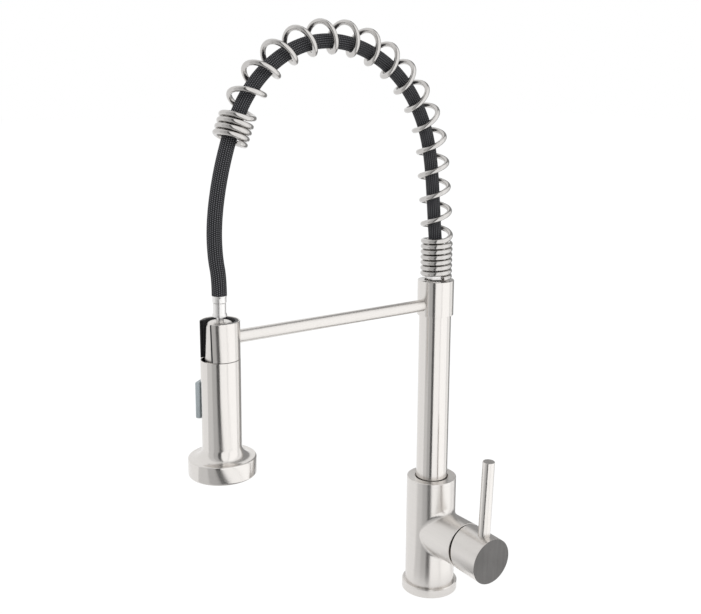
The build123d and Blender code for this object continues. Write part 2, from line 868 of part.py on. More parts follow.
def make_head_oring():
    middle = (tail_bottom + cone_top - cone_roof - tail_flange_height) / 2
    inner = tail_nipple_radius + running
    return at_dock(seal_ring(inner, cone_cavity_radius - pressed, middle, head_ring_height))


def make_spray_shell():
    inner = head_radius - head_wall
    roof = disc_top - disc_roof
    outline = [(inner, head_top), (head_radius, head_top), (head_radius, disc_top), (disc_radius, disc_top),
               (disc_radius, disc_bottom), (disc_opening, disc_bottom), (disc_opening, roof), (inner, roof)]
    flare = min(flare_radius, disc_radius - head_radius - 1.6)
    lining_flare = min(flare_radius + 1, disc_opening - inner - 0.1)
    shell = at_dock(turned(outline, [(1, 0.4), (2, flare), (3, 1.5), (4, 2.0), (7, lining_flare)]))
    half = button_width / 2 + free_gap
    window = block(8, 24, -half, half, button_bottom - window_gap, button_top + window_gap)
    window = fillet(window.edges().filter_by(Axis.X), button_round)
    return shell - at_button(window)


def make_face_plate():
    plate = disc(disc_opening - face_gap, face_bottom, face_top)
    plate -= disc(aerator_radius + face_gap, face_bottom - 1, face_top + 1)
    for spot in PolarLocations(nozzle_circle, nozzle_count):
        plate -= spot * disc(nozzle_radius + seated, face_bottom - 1, face_top + 1)
    return at_dock(plate)


def make_nozzle_mat():
    mat = ring(mat_inner, mat_outer, face_top + seated, face_top + seated + mat_thickness)
    for spot in PolarLocations(nozzle_circle, nozzle_count):
        mat += spot * disc(nozzle_radius, face_bottom - nozzle_stand_out, face_top + 1)
    return at_dock(mat)


def make_aerator():
    bottom = face_bottom + groove_gap
    rim = ring(aerator_radius - aerator_wall, aerator_radius, bottom, face_top + aerator_rise)
    low = face_bottom + 3 * groove_gap
    high = low + grid_height
    for offset in (-grid_pitch, 0, grid_pitch):
        length = sqrt((aerator_radius - aerator_wall / 2) ** 2 - offset ** 2)
        first = offset - grid_bar / 2
        last = offset + grid_bar / 2
        rim += block(-length, length, first, last, low, high)
        rim += block(first, last, -length, length, low, high)
    return at_dock(rim)


def make_waterway():
    foot = face_top + seated
    bell_top = foot + bell_depth + bell_roof
    plenum = foot + bell_depth
    bore_top = pin_height + spool_rise + spool_radius + 1
    nipple_top = waterway_top + nipple_rise
    outline = [(0, nipple_top), (head_nipple_radius, nipple_top), (head_nipple_radius, waterway_top),
               (waterway_radius, waterway_top), (waterway_radius, bell_top), (bell_radius, bell_top),
               (bell_radius, foot), (bell_inner, foot), (bell_inner, plenum), (0, plenum)]
    body = turned(outline)
    body -= disc(waterway_bore, plenum - 1, bore_top)
    body -= disc(head_nipple_radius - 1.2, bore_top - 1, nipple_top + 1)
    pocket = rocker_web_rise + 1.5
    half = rocker_web_half + pocket_gap
    body -= block(rocker_pin_reach - lug_back, 20, -half, half, pin_height - pocket, pin_height + pocket)
    for y0 in (half, -half - lug_width):
        body += block(9, lug_reach, y0, y0 + lug_width, pin_height - lug_rise, pin_height + lug_rise)
    body -= Pos(rocker_pin_reach, 0, pin_height) * Rot(90, 0, 0) * disc(rocker_pin_radius + pressed, -9, 9)
    spool_way = disc(spool_radius + running, spool_inner_end - 1.5, 20)
    body -= Pos(0, 0, pin_height + spool_rise) * Rot(0, 90, 0) * spool_way
    return at_button(body)


# Rocker button and spool

def make_rocker_pin():
    half = rocker_web_half + pocket_gap + lug_width
    pin = Rot(90, 0, 0) * disc(rocker_pin_radius, -half, half)
    return at_button(Pos(rocker_pin_reach, 0, pin_height) * pin)


def make_rocker_button():
    outline = Polyline((button_back, button_bottom), (button_out_bottom, button_bottom),
                       (button_out_top, button_top), (button_back, button_top), close=True)
    face = make_face(outline)
    corners = face.vertices().sort_by(Axis.X)[-2:]
    face = fillet(corners, button_round)
    button = extrude(Plane.XZ * face, button_width / 2, both=True)
    web_back = rocker_pin_reach - rocker_pin_radius - 0.8
    button += block(web_back, button_back + 1, -rocker_web_half, rocker_web_half,
                    pin_height - rocker_web_rise, pin_height + rocker_web_rise)
    hole = Rot(90, 0, 0) * disc(rocker_pin_radius + seated, -9, 9)
    return at_button(button - Pos(rocker_pin_reach, 0, pin_height) * hole)


def make_diverter_spool():
    outer_end = button_back - free_gap
    outline = [(0, spool_inner_end), (spool_radius, spool_inner_end), (spool_radius, spool_inner_end + 4),
               (spool_neck, spool_inner_end + 5), (spool_neck, spool_inner_end + 10),
               (spool_radius, spool_inner_end + 11), (spool_radius, outer_end), (0, outer_end)]
    return at_button(Pos(0, 0, pin_height + spool_rise) * Rot(0, 90, 0) * turned(outline))


makers = {
    "base_flange": make_base_flange,
    "base_gasket": make_base_gasket,
    "valve_body": make_valve_body,
    "mounting_shank": make_mounting_shank,
    "rubber_washer": make_rubber_washer,
    "clamp_plate": make_clamp_plate,
    "mounting_nut": make_mounting_nut,
    "clamp_screws": make_clamp_screws,
    "cartridge_body": make_cartridge_body,
    "cartridge_seals": make_cartridge_seals,
    "fixed_disc": make_fixed_disc,
    "moving_disc": make_moving_disc,
    "cartridge_turret": make_cartridge_turret,
    "turret_pin": make_turret_pin,
    "cartridge_stem": make_cartridge_stem,
    "bonnet_nut": make_bonnet_nut,
    "dome_cap": make_dome_cap,
    "handle_hub": make_handle_hub,
    "lever_rod": make_lever_rod,
    "hub_set_screw": make_hub_set_screw,
    "slip_washer": make_slip_washer,
    "column_foot": make_column_foot,
    "column_orings": make_column_orings,
    "column_screw": make_column_screw,
    "column_tube": make_column_tube,
    "collar": make_collar,
    "collar_grub_screw": make_collar_grub_screw,
    "arm_rod": make_arm_rod,
    "dock_shell": make_dock_shell,
    "dock_liner": make_dock_liner,
    "hose_adapter": make_hose_adapter,
    "adapter_oring": make_adapter_oring,
    "union_nut": make_union_nut,
    "spring": make_spring,
    "spray_hose": make_spray_hose,
    "hose_ferrule": make_hose_ferrule,
    "hose_nut": make_hose_nut,
    "hose_tail": make_hose_tail,
    "docking_cone": make_docking_cone,
    "seat_ring": make_seat_ring,
    "check_valve": make_check_valve,
    "head_oring": make_head_oring,
    "spray_shell": make_spray_shell,
    "face_plate": make_face_plate,
    "nozzle_mat": make_nozzle_mat,
    "aerator": make_aerator,
    "waterway": make_waterway,
    "rocker_pin": make_rocker_pin,
    "rocker_button": make_rocker_button,
    "diverter_spool": make_diverter_spool,
}

os.makedirs("parts", exist_ok=True)
print_spring_gap()
for name, make in makers.items():
    export_step(make(), f"parts/{name}.step")
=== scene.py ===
from math import asin, cos, pi, radians, sin, tan

import bmesh
import bpy
from bpy.props import FloatProperty, FloatVectorProperty, IntProperty, PointerProperty
from mathutils import Matrix, Vector


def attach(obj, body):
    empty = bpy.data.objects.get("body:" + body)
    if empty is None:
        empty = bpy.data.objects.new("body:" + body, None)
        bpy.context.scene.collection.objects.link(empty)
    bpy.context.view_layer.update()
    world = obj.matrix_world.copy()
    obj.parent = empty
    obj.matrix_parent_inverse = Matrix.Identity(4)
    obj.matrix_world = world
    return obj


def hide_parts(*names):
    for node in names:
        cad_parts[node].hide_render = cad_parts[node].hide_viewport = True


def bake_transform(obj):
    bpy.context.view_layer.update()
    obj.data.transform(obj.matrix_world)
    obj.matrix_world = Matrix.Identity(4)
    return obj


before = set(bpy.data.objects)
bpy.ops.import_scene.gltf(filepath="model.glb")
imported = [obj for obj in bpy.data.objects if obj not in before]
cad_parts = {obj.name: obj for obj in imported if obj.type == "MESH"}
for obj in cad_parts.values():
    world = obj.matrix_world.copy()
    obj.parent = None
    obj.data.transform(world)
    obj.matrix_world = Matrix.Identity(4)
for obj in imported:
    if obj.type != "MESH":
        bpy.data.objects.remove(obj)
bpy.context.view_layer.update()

bl_info = {
    "name": "Spring Neck Faucet",
    "version": (1, 0, 0),
    "blender": (4, 5, 0),
    "location": "View3D > Sidebar > Faucet",
    "description": "Builds a kitchen faucet with a spring neck around its packed frame",
    "category": "Object",
}

# Places that the pieces share, in metres and degrees
HOUSING_HEIGHT = 0.0604     # axis of the side housing above the deck
PIVOT_REACH = 0.045         # handle's pivot from the column's axis
HUB_FACE = 0.0836           # end of the handle's hub from the column's axis
HANDLE_LEAN = 2.3           # tilt of the hub at rest
REACH = 0.2189              # spray head's axis from the column's axis
TUBE_RADIUS = 0.0157        # dock and spray head
DOCK_TOP = 0.2921
DOCK_WALL = 0.0013
LIP = 0.0011                # how far the dock's lining covers the slot's edges
LINING_PLAY = 0.00005       # between the dock's wall and its lining
HEAD_GAP = 0.0004           # between the dock and the spray head
HEAD_WALL = 0.0015
DISC_FOOT = 0.1666
DISC_RIM_WALL = 0.0026
DISC_ROOF_WALL = 0.0017
FLARE_RADIUS = 0.009        # fillet between the head and its disc
BUTTON_FOOT = 0.2122
BUTTON_DIRECTION = 217.8    # from +X about the spray head's axis
BUTTON_HALF_WIDTH = 0.006
BUTTON_BACK = 0.0154        # button's back and front from the head's axis
BUTTON_FRONT = 0.0198
WINDOW_SIDE_GAP = 0.0004    # window's play beside the button, and above and below it
WINDOW_END_GAP = 0.0006
CORNER_RADIUS = 0.0012      # button and window
ROCKER_PIN_HEIGHT = 0.2305
SPRING_FOOT = 0.30168

# (y, z) points of the hose's centre line, from the column's head to the spray head's ferrule
HOSE_ROUTE = [(0.0, 0.308), (0.0, 0.321), (-0.0028, 0.345), (-0.005, 0.371), (-0.0076, 0.398),
              (-0.0122, 0.424), (-0.0215, 0.448), (-0.0373, 0.4712), (-0.0585, 0.4895), (-0.0845, 0.502),
              (-0.113, 0.5074), (-0.1424, 0.5035), (-0.1689, 0.4897), (-0.1904, 0.4685), (-0.205, 0.4415),
              (-0.2142, 0.413), (-0.22, 0.386), (-0.2225, 0.362), (-0.2217, 0.341), (-0.2189, 0.326),
              (-0.2189, 0.312)]

# Radius and turn in degrees of each arc of the spring's line, from its foot on
SPRING_ARCS = [(0.077, 4.4), (1.62, 2.5), (0.098, 16.1), (0.1205, 44.3), (0.091, 80.0), (0.117, 11.0)]

# Place, width and power of each softbox
SOFTBOXES = [(1.4, -0.5, 1.5, 1.2, 14.0), (-0.6, -1.6, 1.3, 1.4, 10.0), (-0.9, 1.2, 1.4, 1.4, 8.0)]

# First and last direction about the column, from +X, and strength of each reflection card
CARDS = [(-57, -41, 0.10), (-80, -57, 0.55), (-106, -80, 0.75), (-38, -2, 1.28), (4, 58, 1.35),
         (72, 88, 1.15), (92, 140, 0.35)]

# Reach and height of a card's edge: along the floor, up, and in towards the object
CARD_PROFILE = [(0.05, 0.001), (1.6, 0.001), (1.6, 1.5), (0.5, 2.2)]


# Sizes and finishes that a user may change

def length_setting(name, description, default, least):
    return FloatProperty(name=name, description=description, default=default, min=least, unit="LENGTH")


def turns_setting(name, description, default, least=0):
    return IntProperty(name=name, description=description, default=default, min=least)


def share_setting(name, description, default):
    return FloatProperty(name=name, description=description, default=default, min=0, max=1)


def color_setting(name, description, *default):
    return FloatVectorProperty(name=name, description=description, subtype="COLOR", size=4, min=0, max=1,
                               default=(*default, 1))


class FaucetSizes(bpy.types.PropertyGroup):
    wire_diameter: length_setting("Wire Diameter", "Thickness of the spring's wire", 0.0044, 0.001)
    spring_diameter: length_setting("Spring Diameter", "Outer diameter of the spring's turns", 0.0287, 0.01)
    closed_pitch: length_setting("Closed Pitch", "Rise of one turn at the close-wound ends", 0.0049, 0.001)
    foot_turns: turns_setting("Turns at the Foot", "Close-wound turns above the collar", 7)
    open_turns: turns_setting("Open Turns", "Turns that stand apart over the arch", 16, 1)
    end_turns: turns_setting("Turns at the End", "Close-wound turns at the spring's free end", 4)
    spring_phase: FloatProperty(name="Spring Phase", description="Where the wire starts round the spring",
                                default=radians(-9.0), subtype="ANGLE")
    seam_height: length_setting("Dock Seam Height", "Height where the dock meets the spray head", 0.2618, 0.2)
    slot_half_bottom: length_setting("Slot Half Width, Foot", "Half the dock's slot at its foot", 0.0102, 0.001)
    slot_half_top: length_setting("Slot Half Width, Top", "Half the dock's slot at its top", 0.0096, 0.001)
    disc_diameter: length_setting("Disc Diameter", "Wide spraying end of the head", 0.0542, 0.01)
    disc_height: length_setting("Disc Height", "Height of the disc's rim", 0.0151, 0.002)
    button_height: length_setting("Button Height", "Length of the rocker button", 0.0298, 0.005)
    hose_diameter: length_setting("Hose Diameter", "Outer diameter of the braided hose", 0.0118, 0.004)
    hose_length: length_setting("Hose Length", "Length of the hose from the column to its ferrule", 0.507, 0.1)


class FaucetFinishes(bpy.types.PropertyGroup):
    nickel_color: color_setting("Nickel", "Colour of the brushed nickel", 0.70, 0.675, 0.65)
    nickel_roughness: share_setting("Nickel Roughness", "Roughness of the brushed nickel", 0.3)
    steel_color: color_setting("Polished Steel", "Colour of the spring's wire", 0.56, 0.545, 0.53)
    steel_roughness: share_setting("Steel Roughness", "Roughness of the spring's wire", 0.16)
    braid_color: color_setting("Braid", "Colour of the hose's braid", 0.006, 0.006, 0.007)
    # Painted highlight: this lighter colour on the crowns of the strands stands in for the glints on the braid.
    painted_glint_color: color_setting("Braid Painted Glints", "Colour of the crowns of the braid's strands", 0.17, 0.17, 0.18)
    # Painted shade: the hub's end face is the same metal, and this darker colour stands in for the dark
    # surroundings it reflects.
    hub_face_painted_shade_color: color_setting("Hub Face Painted Shade", "Colour of the dark end of the handle's hub", 0.13, 0.125, 0.12)
    button_color: color_setting("Button", "Colour of the rocker button", 0.31, 0.345, 0.355)


# Shader groups

class Nodes:
    """Short way to add and join nodes in one tree."""

    def __init__(self, tree):
        self.tree = tree

    def add(self, kind, **values):
        """Adds a node; in_NAME or in_NUMBER sets or joins an input, any other name sets the node."""
        node = self.tree.nodes.new(kind)
        for name, value in values.items():
            if name.startswith("in_"):
                key = name[3:]
                key = int(key) if key.isdigit() else key.replace("_", " ")
                if hasattr(value, "is_output"):
                    self.tree.links.new(value, node.inputs[key])
                else:
                    node.inputs[key].default_value = value
            else:
                setattr(node, name, value)
        return node

    def math(self, operation, first, second=0.0):
        return self.add("ShaderNodeMath", operation=operation, in_0=first, in_1=second).outputs[0]

    def blend(self, share, first, second):
        node = self.add("ShaderNodeMix", data_type="RGBA", in_0=share, in_6=first, in_7=second)
        return node.outputs[2]

    def ramp(self, value, low, high, start, end):
        node = self.add("ShaderNodeMapRange", in_0=value, in_1=low, in_2=high, in_3=start, in_4=end)
        return node.outputs[0]


def new_group(name, inputs, outputs, kind="ShaderNodeTree"):
    """Node group with named sockets, given as (name, socket type, default)."""
    group = bpy.data.node_groups.new(name, kind)
    for label, socket, default in inputs:
        made = group.interface.new_socket(label, in_out="INPUT", socket_type=socket)
        if default is not None:
            made.default_value = default
    for label, socket in outputs:
        group.interface.new_socket(label, in_out="OUTPUT", socket_type=socket)
    nodes = Nodes(group)
    return group, nodes, nodes.add("NodeGroupInput"), nodes.add("NodeGroupOutput")


def brushed_group():
    """Fine lines of a brushed or turned metal, with faint handling marks."""
    group, nodes, source, result = new_group(
        "Brushed Lines",
        [("Vector", "NodeSocketVector", None), ("Base", "NodeSocketColor", (0.7, 0.7, 0.7, 1)),
         ("Roughness", "NodeSocketFloat", 0.3), ("Depth", "NodeSocketFloat", 1.0)],
        [("Color", "NodeSocketColor"), ("Roughness", "NodeSocketFloat"), ("Height", "NodeSocketFloat")])
    vector = source.outputs["Vector"]
    fine = nodes.add("ShaderNodeTexNoise", in_Vector=vector, in_Scale=260.0, in_Detail=3.0, in_Roughness=0.65)
    broad = nodes.add("ShaderNodeTexNoise", in_Vector=vector, in_Scale=60.0, in_Detail=2.0)
    lines = nodes.math("ADD", nodes.math("MULTIPLY", fine.outputs[0], 0.65),
                       nodes.math("MULTIPLY", broad.outputs[0], 0.35))
    centred = nodes.math("MULTIPLY", nodes.math("SUBTRACT", lines, 0.5), source.outputs["Depth"])
    shade = nodes.math("ADD", 1.0, nodes.math("MULTIPLY", centred, 0.28))
    tint = nodes.add("ShaderNodeVectorMath", operation="SCALE", in_0=source.outputs["Base"])
    nodes.tree.links.new(shade, tint.inputs["Scale"])
    rough = nodes.math("ADD", source.outputs["Roughness"], nodes.math("MULTIPLY", centred, 0.22))
    nodes.tree.links.new(tint.outputs[0], result.inputs["Color"])
    nodes.tree.links.new(rough, result.inputs["Roughness"])
    nodes.tree.links.new(lines, result.inputs["Height"])
    return group


def braid_group():
    """Strands of a braid: lengthwise rows of crowns, each row half a crown on from its neighbour, with a
    painted highlight lightening the crowns.
    """
    group, nodes, source, result = new_group(
        "Braid",
        [("UV", "NodeSocketVector", None), ("Rows Round", "NodeSocketFloat", 20.0),
         ("Crowns per Metre", "NodeSocketFloat", 420.0), ("Strand", "NodeSocketColor", (0.01, 0.01, 0.01, 1)),
         ("Painted Glint", "NodeSocketColor", (0.1, 0.1, 0.1, 1))],
        [("Color", "NodeSocketColor"), ("Roughness", "NodeSocketFloat"), ("Height", "NodeSocketFloat")])
    place = nodes.add("ShaderNodeSeparateXYZ", in_0=source.outputs["UV"])
    round_way = nodes.math("MULTIPLY", place.outputs[0], source.outputs["Rows Round"])
    row = nodes.math("FLOOR", round_way)
    shift = nodes.math("MULTIPLY", nodes.math("FLOORED_MODULO", row, 2.0), 0.5)
    crowns = nodes.math("MULTIPLY", place.outputs[1], source.outputs["Crowns per Metre"])
    along = nodes.math("ADD", crowns, shift)
    across = nodes.math("FRACT", round_way)
    slant = nodes.math("MULTIPLY", nodes.math("SUBTRACT", nodes.math("MULTIPLY", shift, 4.0), 1.0), across)
    side = nodes.math("SINE", nodes.math("MULTIPLY", across, pi))
    crown = nodes.math("SINE", nodes.math("MULTIPLY", nodes.math("FRACT", along), pi))
    height = nodes.math("MULTIPLY", nodes.math("POWER", side, 0.7), nodes.math("POWER", crown, 0.6))
    thread = nodes.math("SINE", nodes.math("MULTIPLY", nodes.math("FRACT", nodes.math(
        "MULTIPLY", nodes.math("ADD", along, nodes.math("MULTIPLY", slant, 0.5)), 4.0)), pi))
    uneven = nodes.add("ShaderNodeTexNoise", in_Scale=3.0, in_Detail=1.0, in_Vector=nodes.add(
        "ShaderNodeCombineXYZ", in_0=row, in_1=nodes.math("FLOOR", along)).outputs[0])
    # Painted highlight: the crowns of the strands are lightened towards the glint colour, unevenly from crown
    # to crown.
    share = nodes.math("MULTIPLY", nodes.ramp(height, 0.55, 0.95, 0.0, 1.0),
                       nodes.ramp(uneven.outputs[0], 0.3, 0.6, 0.25, 1.0))
    painted_glint = nodes.math("MULTIPLY", share, nodes.math("ADD", 0.6, nodes.math("MULTIPLY", thread, 0.4)))
    color = nodes.blend(painted_glint, source.outputs["Strand"], source.outputs["Painted Glint"])
    relief = nodes.math("ADD", height, nodes.math("MULTIPLY", thread, 0.15))
    nodes.tree.links.new(color, result.inputs["Color"])
    nodes.tree.links.new(nodes.ramp(height, 0.0, 1.0, 0.8, 0.5), result.inputs["Roughness"])
    nodes.tree.links.new(relief, result.inputs["Height"])
    return group


def moulded_group():
    """Fine spark-eroded grain of moulded plastic or rubber, with a dusting of wear."""
    group, nodes, source, result = new_group(
        "Moulded Grain",
        [("Vector", "NodeSocketVector", None), ("Base", "NodeSocketColor", (0.1, 0.1, 0.1, 1)),
         ("Roughness", "NodeSocketFloat", 0.5), ("Grain", "NodeSocketFloat", 900.0)],
        [("Color", "NodeSocketColor"), ("Roughness", "NodeSocketFloat"), ("Height", "NodeSocketFloat")])
    grain = nodes.add("ShaderNodeTexNoise", in_Vector=source.outputs["Vector"],
                      in_Scale=source.outputs["Grain"], in_Detail=3.0)
    cloud = nodes.add("ShaderNodeTexNoise", in_Vector=source.outputs["Vector"], in_Scale=45.0, in_Detail=2.0)
    shade = nodes.ramp(nodes.math("ADD", nodes.math("MULTIPLY", grain.outputs[0], 0.4),
                                  nodes.math("MULTIPLY", cloud.outputs[0], 0.6)), 0.25, 0.75, 0.82, 1.18)
    tint = nodes.add("ShaderNodeVectorMath", operation="SCALE", in_0=source.outputs["Base"])
    nodes.tree.links.new(shade, tint.inputs["Scale"])
    rough = nodes.math("ADD", source.outputs["Roughness"],
                       nodes.math("MULTIPLY", nodes.math("SUBTRACT", cloud.outputs[0], 0.5), 0.25))
    nodes.tree.links.new(tint.outputs[0], result.inputs["Color"])
    nodes.tree.links.new(rough, result.inputs["Roughness"])
    nodes.tree.links.new(grain.outputs[0], result.inputs["Height"])
    return group


# Materials

def group_named(name, maker):
    """Node group of a name, made at its first use."""
    return bpy.data.node_groups.get(name) or maker()


def finish_material(name, group, settings, vector, metallic=0.0, anisotropic=0.0, tangent="", bump=0.1,
                    bump_distance=0.0002, specular=0.5):
    """Material whose colour, roughness and relief come from one of the shader groups."""
    name = "faucet_" + name
    material = bpy.data.materials.get(name)
    if material:
        return material
    material = bpy.data.materials.new(name)
    material.use_nodes = True
    nodes = Nodes(material.node_tree)
    shader = material.node_tree.nodes["Principled BSDF"]
    shader.inputs["Metallic"].default_value = metallic
    shader.inputs["Anisotropic"].default_value = anisotropic
    shader.inputs["Anisotropic Rotation"].default_value = 0.25
    shader.inputs["Specular IOR Level"].default_value = specular
    made = nodes.add("ShaderNodeGroup", node_tree=group)
    for label, value in settings.items():
        made.inputs[label].default_value = value
    nodes.tree.links.new(vector(nodes), made.inputs[0])
    nodes.tree.links.new(made.outputs["Color"], shader.inputs["Base Color"])
    nodes.tree.links.new(made.outputs["Roughness"], shader.inputs["Roughness"])
    relief = nodes.add("ShaderNodeBump", in_Strength=bump, in_Distance=bump_distance,
                       in_Height=made.outputs["Height"])
    nodes.tree.links.new(relief.outputs[0], shader.inputs["Normal"])
    if tangent:
        way = nodes.add("ShaderNodeTangent", direction_type="RADIAL", axis=tangent)
        nodes.tree.links.new(way.outputs[0], shader.inputs["Tangent"])
    return material


def object_vector(scale=(1, 1, 1)):
    """Object coordinates, stretched along the lines of a brushed surface."""
    def make(nodes):
        place = nodes.add("ShaderNodeTexCoord")
        return nodes.add("ShaderNodeMapping", in_Vector=place.outputs["Object"], in_Scale=scale).outputs[0]
    return make


def uv_vector(nodes):
    """The piece's own UV map."""
    return nodes.add("ShaderNodeUVMap").outputs[0]


def nickel(axis, fine=False):
    """Brushed nickel with its lines round an axis of the row frame; the finer one mirrors more sharply."""
    finishes = bpy.context.scene.faucet_finishes
    stretch = {"X": (12, 0.25, 0.25), "Y": (0.25, 12, 0.25), "Z": (0.25, 0.25, 12)}[axis]
    name = ("fine_nickel_" if fine else "brushed_nickel_") + axis.lower()
    return finish_material(
        name, group_named("Brushed Lines", brushed_group),
        {"Base": finishes.nickel_color, "Roughness": finishes.nickel_roughness * (0.65 if fine else 1),
         "Depth": 0.35 if fine else 0.55},
        object_vector(stretch), metallic=1.0, anisotropic=0.75, tangent=axis, bump=0.03)


def hub_metal():
    """Brushed nickel whose end face, past a plane across the leaning handle, is a darker satin grey: painted
    shade standing in for the dark surroundings that the face mirrors.
    """
    material = bpy.data.materials.get("faucet_brushed_hub_painted_face_shade")
    if material:
        return material
    material = nickel("X").copy()
    material.name = "faucet_brushed_hub_painted_face_shade"
    finishes = bpy.context.scene.faucet_finishes
    nodes = Nodes(material.node_tree)
    shader = material.node_tree.nodes["Principled BSDF"]
    place = nodes.add("ShaderNodeTexCoord").outputs["Object"]
    lean = radians(HANDLE_LEAN)
    along = nodes.add("ShaderNodeVectorMath", operation="DOT_PRODUCT", in_0=place,
                      in_1=(cos(lean), 0, -sin(lean)))
    pivot = PIVOT_REACH * cos(lean) - HOUSING_HEIGHT * sin(lean)
    end = nodes.ramp(along.outputs["Value"], pivot + HUB_FACE - PIVOT_REACH - 0.0003,
                     pivot + HUB_FACE - PIVOT_REACH - 0.0002, 0.0, 1.0)
    flat = nodes.add("ShaderNodeTexNoise", in_Scale=9.0, in_Detail=4.0, in_Vector=nodes.add(
        "ShaderNodeMapping", in_Vector=place, in_Scale=(1, 40, 4)).outputs[0])
    # Painted shade: the end face is painted a dark grey, with faint random streaks, in place of the dark
    # reflection it would show.
    painted_face_shade = nodes.add("ShaderNodeVectorMath", operation="SCALE", in_0=tuple(finishes.hub_face_painted_shade_color)[:3])
    nodes.tree.links.new(nodes.ramp(flat.outputs[0], 0.3, 0.7, 0.9, 1.1), painted_face_shade.inputs["Scale"])
    for socket, face in (("Base Color", painted_face_shade.outputs[0]), ("Metallic", 0.35), ("Roughness", 0.55)):
        wired = shader.inputs[socket]
        before = wired.links[0].from_socket if wired.links else wired.default_value
        if socket == "Base Color":
            result = nodes.blend(end, before, face)
        else:
            mix = nodes.add("ShaderNodeMix", data_type="FLOAT", in_0=end, in_2=before, in_3=face)
            result = mix.outputs[0]
        nodes.tree.links.new(result, wired)
    return material


def polished_steel():
    """Bright wire of the spring."""
    finishes = bpy.context.scene.faucet_finishes
    return finish_material(
        "polished_steel", group_named("Brushed Lines", brushed_group),
        {"Base": finishes.steel_color, "Roughness": finishes.steel_roughness, "Depth": 0.4},
        object_vector((1, 1, 1)), metallic=1.0, bump=0.02)


def plain_metal(name, color, roughness):
    """Turned metal with its lines round the upright axis."""
    return finish_material(name, group_named("Brushed Lines", brushed_group),
                           {"Base": color, "Roughness": roughness, "Depth": 0.9},
                           object_vector((0.5, 0.5, 8)), metallic=1.0, bump=0.08)


def moulded(name, color, roughness, bump=0.12, specular=0.5):
    """Plastic, rubber or ceramic with a fine grain."""
    return finish_material(name, group_named("Moulded Grain", moulded_group),
                           {"Base": color, "Roughness": roughness}, object_vector(), bump=bump,
                           specular=specular)


def black_plastic():
    return moulded("black_plastic", (0.012, 0.012, 0.013, 1), 0.45, specular=0.3)


def braid():
    """The hose's braid, laid out on the hose's own UV map."""
    finishes = bpy.context.scene.faucet_finishes
    return finish_material(
        "black_braid", group_named("Braid", braid_group),
        {"Strand": finishes.braid_color, "Painted Glint": finishes.painted_glint_color, "Rows Round": 21.0,
         "Crowns per Metre": 620.0},
        uv_vector, bump=0.5, bump_distance=0.0003, specular=0.2)


# Shapes

SHARP_ANGLE = radians(35)
STEPS_PER_METRE_OF_FILLET = 2500


def piece(name, mesh, material, body, replaced, smooth=True):
    """Puts a finished mesh into the scene as a piece, which rides on a body where one is named."""
    mesh.name = name
    if smooth:
        mesh.shade_smooth()
    made = bpy.data.objects.new(name, mesh)
    bpy.context.scene.collection.objects.link(made)
    mesh.materials.clear()
    mesh.materials.append(material)
    if body:
        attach(made, body)
    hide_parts(*replaced)
    return made


def shell_mesh(points, faces, turn=0.0):
    """Closed mesh on the spray head's axis with its faces outwards and its sharp edges marked."""
    mesh = bpy.data.meshes.new("shell")
    mesh.from_pydata(points, [], faces)
    mesh.transform(Matrix.Translation((0, -REACH, 0)) @ Matrix.Rotation(radians(turn), 4, "Z"))
    work = bmesh.new()
    work.from_mesh(mesh)
    bmesh.ops.remove_doubles(work, verts=work.verts, dist=1e-7)
    bmesh.ops.recalc_face_normals(work, faces=work.faces)
    work.to_mesh(mesh)
    work.free()
    mesh.shade_smooth()
    mesh.set_sharp_from_angle(angle=SHARP_ANGLE)
    return mesh


def rounded(corners):
    """Outline from (x, y, fillet radius) corners, with each fillet as a short arc."""
    outline = []
    count = len(corners)
    for i, (x, y, radius) in enumerate(corners):
        here = Vector((x, y))
        before = (Vector(corners[i - 1][:2]) - here).normalized()
        after = (Vector(corners[(i + 1) % count][:2]) - here).normalized()
        if not radius:
            outline.append(here)
            continue
        half = before.angle(after) / 2
        centre = here + (before + after).normalized() * radius / sin(half)
        start = here + before * radius / tan(half) - centre
        end = here + after * radius / tan(half) - centre
        sweep = start.angle_signed(end)
        steps = max(3, round(radius * STEPS_PER_METRE_OF_FILLET))
        for k in range(steps + 1):
            outline.append(centre + Matrix.Rotation(-sweep * k / steps, 2) @ start)
    return [(point.x, point.y) for point in outline]


def turned(corners, sides=144):
    """Ring about the spray head's axis from a rounded outline of (radius, height) corners."""
    outline = rounded(corners)
    count = len(outline)
    points = [(r * cos(2 * pi * k / sides), r * sin(2 * pi * k / sides), z)
              for k in range(sides) for r, z in outline]
    faces = [(k * count + i, k * count + (i + 1) % count, (k + 1) % sides * count + (i + 1) % count,
              (k + 1) % sides * count + i) for k in range(sides) for i in range(count)]
    return shell_mesh(points, faces)


def prism(outline, low, high, turn=0.0):
    """Prism of a (y, z) outline along X between two reaches, turned about the spray head's axis."""
    count = len(outline)
    points = [(x, y, z) for x in (low, high) for y, z in outline]
    faces = [(i, (i + 1) % count, count + (i + 1) % count, count + i) for i in range(count)]
    faces += [tuple(range(count)), tuple(range(count, 2 * count))]
    return shell_mesh(points, faces, turn)


def slotted(levels, spread, steps=112):
    """Wall from (height, inner radius, outer radius) levels, open towards the arm's far side; spread gives
    the half angle of the opening, or the two angles of a strip, at a height and radius."""
    rows = []
    for height, inner, outer in levels:
        for radius in (inner, outer):
            first, last = spread(height, radius)
            angles = [first + (last - first) * k / steps for k in range(steps + 1)]
            rows.append([(radius * sin(angle), -radius * cos(angle), height) for angle in angles])
    width = steps + 1
    points = [point for row in rows for point in row]
    order = [2 * i for i in range(len(levels))] + [2 * i + 1 for i in reversed(range(len(levels)))]
    faces = []
    for a, b in zip(order, order[1:] + order[:1]):
        faces += [(a * width + k, a * width + k + 1, b * width + k + 1, b * width + k) for k in range(steps)]
    for k in (0, steps):
        faces += [tuple((2 * i + row) * width + k for row in (0, 1, 3, 2)) for i in range(len(levels) - 1)]
    return points, faces


